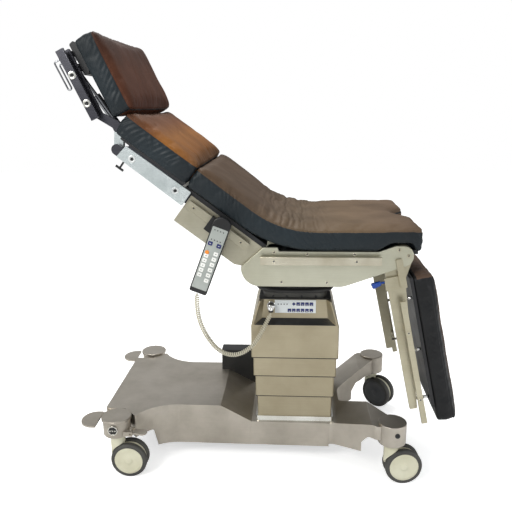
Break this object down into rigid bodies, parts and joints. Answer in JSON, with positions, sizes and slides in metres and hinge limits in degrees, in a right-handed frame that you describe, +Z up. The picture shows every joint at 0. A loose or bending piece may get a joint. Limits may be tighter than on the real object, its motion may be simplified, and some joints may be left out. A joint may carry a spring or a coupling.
{
  "type": "operating table",
  "caption": "Operating table with a stepped telescopic column, a sectioned padded top with back raised and legs lowered, side rails, casters and a corded hand control.",
  "frame": {"origin": "on the floor under the middle of the column", "axes": "+X towards the leg end, +Y across the table away from the console's keys, +Z up"},
  "size_m": [1.2203, 0.6338, 1.4075],
  "materials": {
    "stainless": "brushed",
    "column_steel": "brushed",
    "frame_steel": "satin",
    "dark_bar": "satin",
    "bright_aluminium": "satin",
    "collar_grey": "satin",
    "bright_trim": "polished",
    "piston_chrome": "polished",
    "board_black": "matte",
    "cushion_seat": "satin",
    "cushion_back": "satin",
    "cushion_head": "satin",
    "cushion_leg": "satin",
    "bellows_black": "matte",
    "caster_cream": "satin",
    "wheel_cream": "satin",
    "pedal_steel": "satin",
    "box_black": "matte",
    "panel_black": "gloss",
    "handset_black": "satin",
    "cord_cream": "satin",
    "lever_blue": "gloss"
  },
  "bodies": {
    "base": {"base_chassis": "frame_steel", "base_cover_head": "stainless", "base_cover_middle": "stainless", "base_cover_arms": "stainless", "caster_collars": "collar_grey", "column_trim": "bright_trim", "column_sleeve_lowest": "column_steel", "control_box": "box_black"},
    "swivel_head_near": {"caster_housing_head_near": "caster_cream"},
    "wheels_head_near": {"caster_wheels_head_near": "wheel_cream"},
    "swivel_head_far": {"caster_housing_head_far": "caster_cream"},
    "wheels_head_far": {"caster_wheels_head_far": "wheel_cream"},
    "swivel_foot_near": {"caster_housing_foot_near": "caster_cream"},
    "wheels_foot_near": {"caster_wheels_foot_near": "wheel_cream"},
    "swivel_foot_far": {"caster_housing_foot_far": "caster_cream"},
    "wheels_foot_far": {"caster_wheels_foot_far": "wheel_cream"},
    "brake_pedals": {"brake_pedals": "pedal_steel"},
    "release_pedal": {"release_pedal": "pedal_steel"},
    "column_stage_1": {"column_sleeve_low": "column_steel"},
    "column_stage_2": {"column_sleeve_middle": "column_steel"},
    "column_top": {"column_sleeve_top": "column_steel", "lift_piston": "piston_chrome", "console_housing": "column_steel", "console_fittings": "panel_black", "bellows": "bellows_black", "cord_plug": "handset_black", "curly_cord": "cord_cream"},
    "tilt_yoke": {"tilt_yoke": "frame_steel"},
    "seat": {"seat_side_plates": "stainless", "seat_rails": "stainless", "seat_frame": "frame_steel", "seat_board": "board_black", "seat_pad": "cushion_seat", "bend_pad": "cushion_seat"},
    "lower_back": {"lower_back_frame": "stainless", "lower_back_rails": "stainless", "lower_back_board": "board_black", "lower_back_pad": "cushion_back"},
    "upper_back": {"upper_back_plates": "bright_aluminium", "upper_back_frame": "dark_bar", "upper_back_board": "board_black", "upper_back_pad": "cushion_back"},
    "lock_knob_near": {"lock_knob_near": "pedal_steel"},
    "lock_knob_far": {"lock_knob_far": "pedal_steel"},
    "head_hinge": {"head_hinge_blocks": "bright_aluminium"},
    "head": {"head_frame": "dark_bar", "head_rails": "dark_bar", "head_struts": "bright_aluminium", "head_board": "board_black", "head_pad": "cushion_head"},
    "leg_near": {"leg_bar_near": "stainless", "leg_board_near": "board_black", "leg_pad_near": "cushion_leg"},
    "leg_far": {"leg_bar_far": "stainless", "leg_board_far": "board_black", "leg_pad_far": "cushion_leg"},
    "leg_lever_near": {"leg_lever_near": "lever_blue"},
    "leg_lever_far": {"leg_lever_far": "lever_blue"},
    "handset": {"handset": "handset_black"}
  },
  "joints": [
    {"name": "caster_swivel_head_near", "type": "hinge", "parent": "base", "child": "swivel_head_near", "pos_m": [-0.587, -0.268, 0.15], "axis": [0, 0, 1], "continuous": true},
    {"name": "wheel_spin_head_near", "type": "hinge", "parent": "swivel_head_near", "child": "wheels_head_near", "pos_m": [-0.549, -0.268, 0.06], "axis": [0, 1, 0], "continuous": true},
    {"name": "caster_swivel_head_far", "type": "hinge", "parent": "base", "child": "swivel_head_far", "pos_m": [-0.587, 0.268, 0.15], "axis": [0, 0, 1], "continuous": true},
    {"name": "wheel_spin_head_far", "type": "hinge", "parent": "swivel_head_far", "child": "wheels_head_far", "pos_m": [-0.54983, 0.2759, 0.06], "axis": [-0.2079, 0.9781, 0], "continuous": true},
    {"name": "caster_swivel_foot_near", "type": "hinge", "parent": "base", "child": "swivel_foot_near", "pos_m": [0.314, -0.266, 0.15], "axis": [0, 0, 1], "continuous": true},
    {"name": "wheel_spin_foot_near", "type": "hinge", "parent": "swivel_foot_near", "child": "wheels_foot_near", "pos_m": [0.35179, -0.26203, 0.06], "axis": [-0.1045, 0.9945, 0], "continuous": true},
    {"name": "caster_swivel_foot_far", "type": "hinge", "parent": "base", "child": "swivel_foot_far", "pos_m": [0.314, 0.266, 0.15], "axis": [0, 0, 1], "continuous": true},
    {"name": "wheel_spin_foot_far", "type": "hinge", "parent": "swivel_foot_far", "child": "wheels_foot_far", "pos_m": [0.34394, 0.2426, 0.06], "axis": [0.6157, 0.788, 0], "continuous": true},
    {"name": "brake_pedals", "type": "hinge", "parent": "base", "child": "brake_pedals", "pos_m": [-0.587, 0, 0.184], "axis": [0, 1, 0], "range_deg": [-12, 12]},
    {"name": "release_pedal", "type": "hinge", "parent": "base", "child": "release_pedal", "pos_m": [-0.533, -0.288, 0.166], "axis": [0, 1, 0], "range_deg": [-10, 10]},
    {"name": "lift_stage_1", "type": "slide", "parent": "base", "child": "column_stage_1", "axis": [0, 0, 1], "range_m": [-0.034, 0.094]},
    {"name": "lift_stage_2", "type": "slide", "parent": "column_stage_1", "child": "column_stage_2", "axis": [0, 0, 1], "range_m": [-0.026, 0.071]},
    {"name": "lift_stage_3", "type": "slide", "parent": "column_stage_2", "child": "column_top", "axis": [0, 0, 1], "range_m": [-0.02, 0.055]},
    {"name": "lateral_tilt", "type": "hinge", "parent": "column_top", "child": "tilt_yoke", "pos_m": [0, 0, 0.65], "axis": [1, 0, 0], "range_deg": [-20, 20], "deforming": ["bellows", "curly_cord"]},
    {"name": "head_foot_tilt", "type": "hinge", "parent": "tilt_yoke", "child": "seat", "pos_m": [0, 0, 0.65], "axis": [0, -1, 0], "range_deg": [-5, 25], "deforming": ["bellows", "curly_cord"]},
    {"name": "lower_back", "type": "hinge", "parent": "seat", "child": "lower_back", "pos_m": [-0.076, 0, 0.735], "axis": [0, 1, 0], "range_deg": [-57, 43], "deforming": ["bend_pad", "curly_cord"]},
    {"name": "upper_back", "type": "hinge", "parent": "lower_back", "child": "upper_back", "pos_m": [-0.3124, 0, 0.91314], "axis": [0, -1, 0], "range_deg": [0, 30]},
    {"name": "head_bracket", "type": "hinge", "parent": "upper_back", "child": "head_hinge", "pos_m": [-0.52962, 0, 1.07683], "axis": [0, -1, 0], "range_deg": [0, 25]},
    {"name": "head_section", "type": "hinge", "parent": "head_hinge", "child": "head", "pos_m": [-0.52389, 0, 1.13762], "axis": [0, -1, 0], "range_deg": [-15, 53]},
    {"name": "lock_knob_near", "type": "hinge", "parent": "upper_back", "child": "lock_knob_near", "pos_m": [-0.49928, -0.257, 1.05396], "axis": [0.6018, 0, 0.7986], "range_deg": [-180, 180]},
    {"name": "lock_knob_far", "type": "hinge", "parent": "upper_back", "child": "lock_knob_far", "pos_m": [-0.49928, 0.257, 1.05396], "axis": [0.6018, 0, 0.7986], "range_deg": [-180, 180]},
    {"name": "leg_near", "type": "hinge", "parent": "seat", "child": "leg_near", "pos_m": [0.321, 0, 0.757], "axis": [0, 1, 0], "range_deg": [-78, 3]},
    {"name": "leg_lever_near", "type": "hinge", "parent": "leg_near", "child": "leg_lever_near", "pos_m": [0.27799, -0.244, 0.67199], "axis": [0.9774, 0, 0.2113], "range_deg": [0, 90]},
    {"name": "leg_far", "type": "hinge", "parent": "seat", "child": "leg_far", "pos_m": [0.321, 0, 0.757], "axis": [0, 1, 0], "range_deg": [-78, 3]},
    {"name": "leg_lever_far", "type": "hinge", "parent": "leg_far", "child": "leg_lever_far", "pos_m": [0.27799, 0.244, 0.67199], "axis": [0.9774, 0, 0.2113], "range_deg": [0, 90]},
    {"name": "handset_slide", "type": "slide", "parent": "lower_back", "child": "handset", "axis": [-0.7986, 0, 0.6018], "range_m": [-0.07, 0.045], "deforming": ["curly_cord"]}
  ],
  "couplings": [
    {"joint": "lift_stage_2", "follows": "lift_stage_1", "ratio": 0.75},
    {"joint": "lift_stage_3", "follows": "lift_stage_1", "ratio": 0.583}
  ]
}
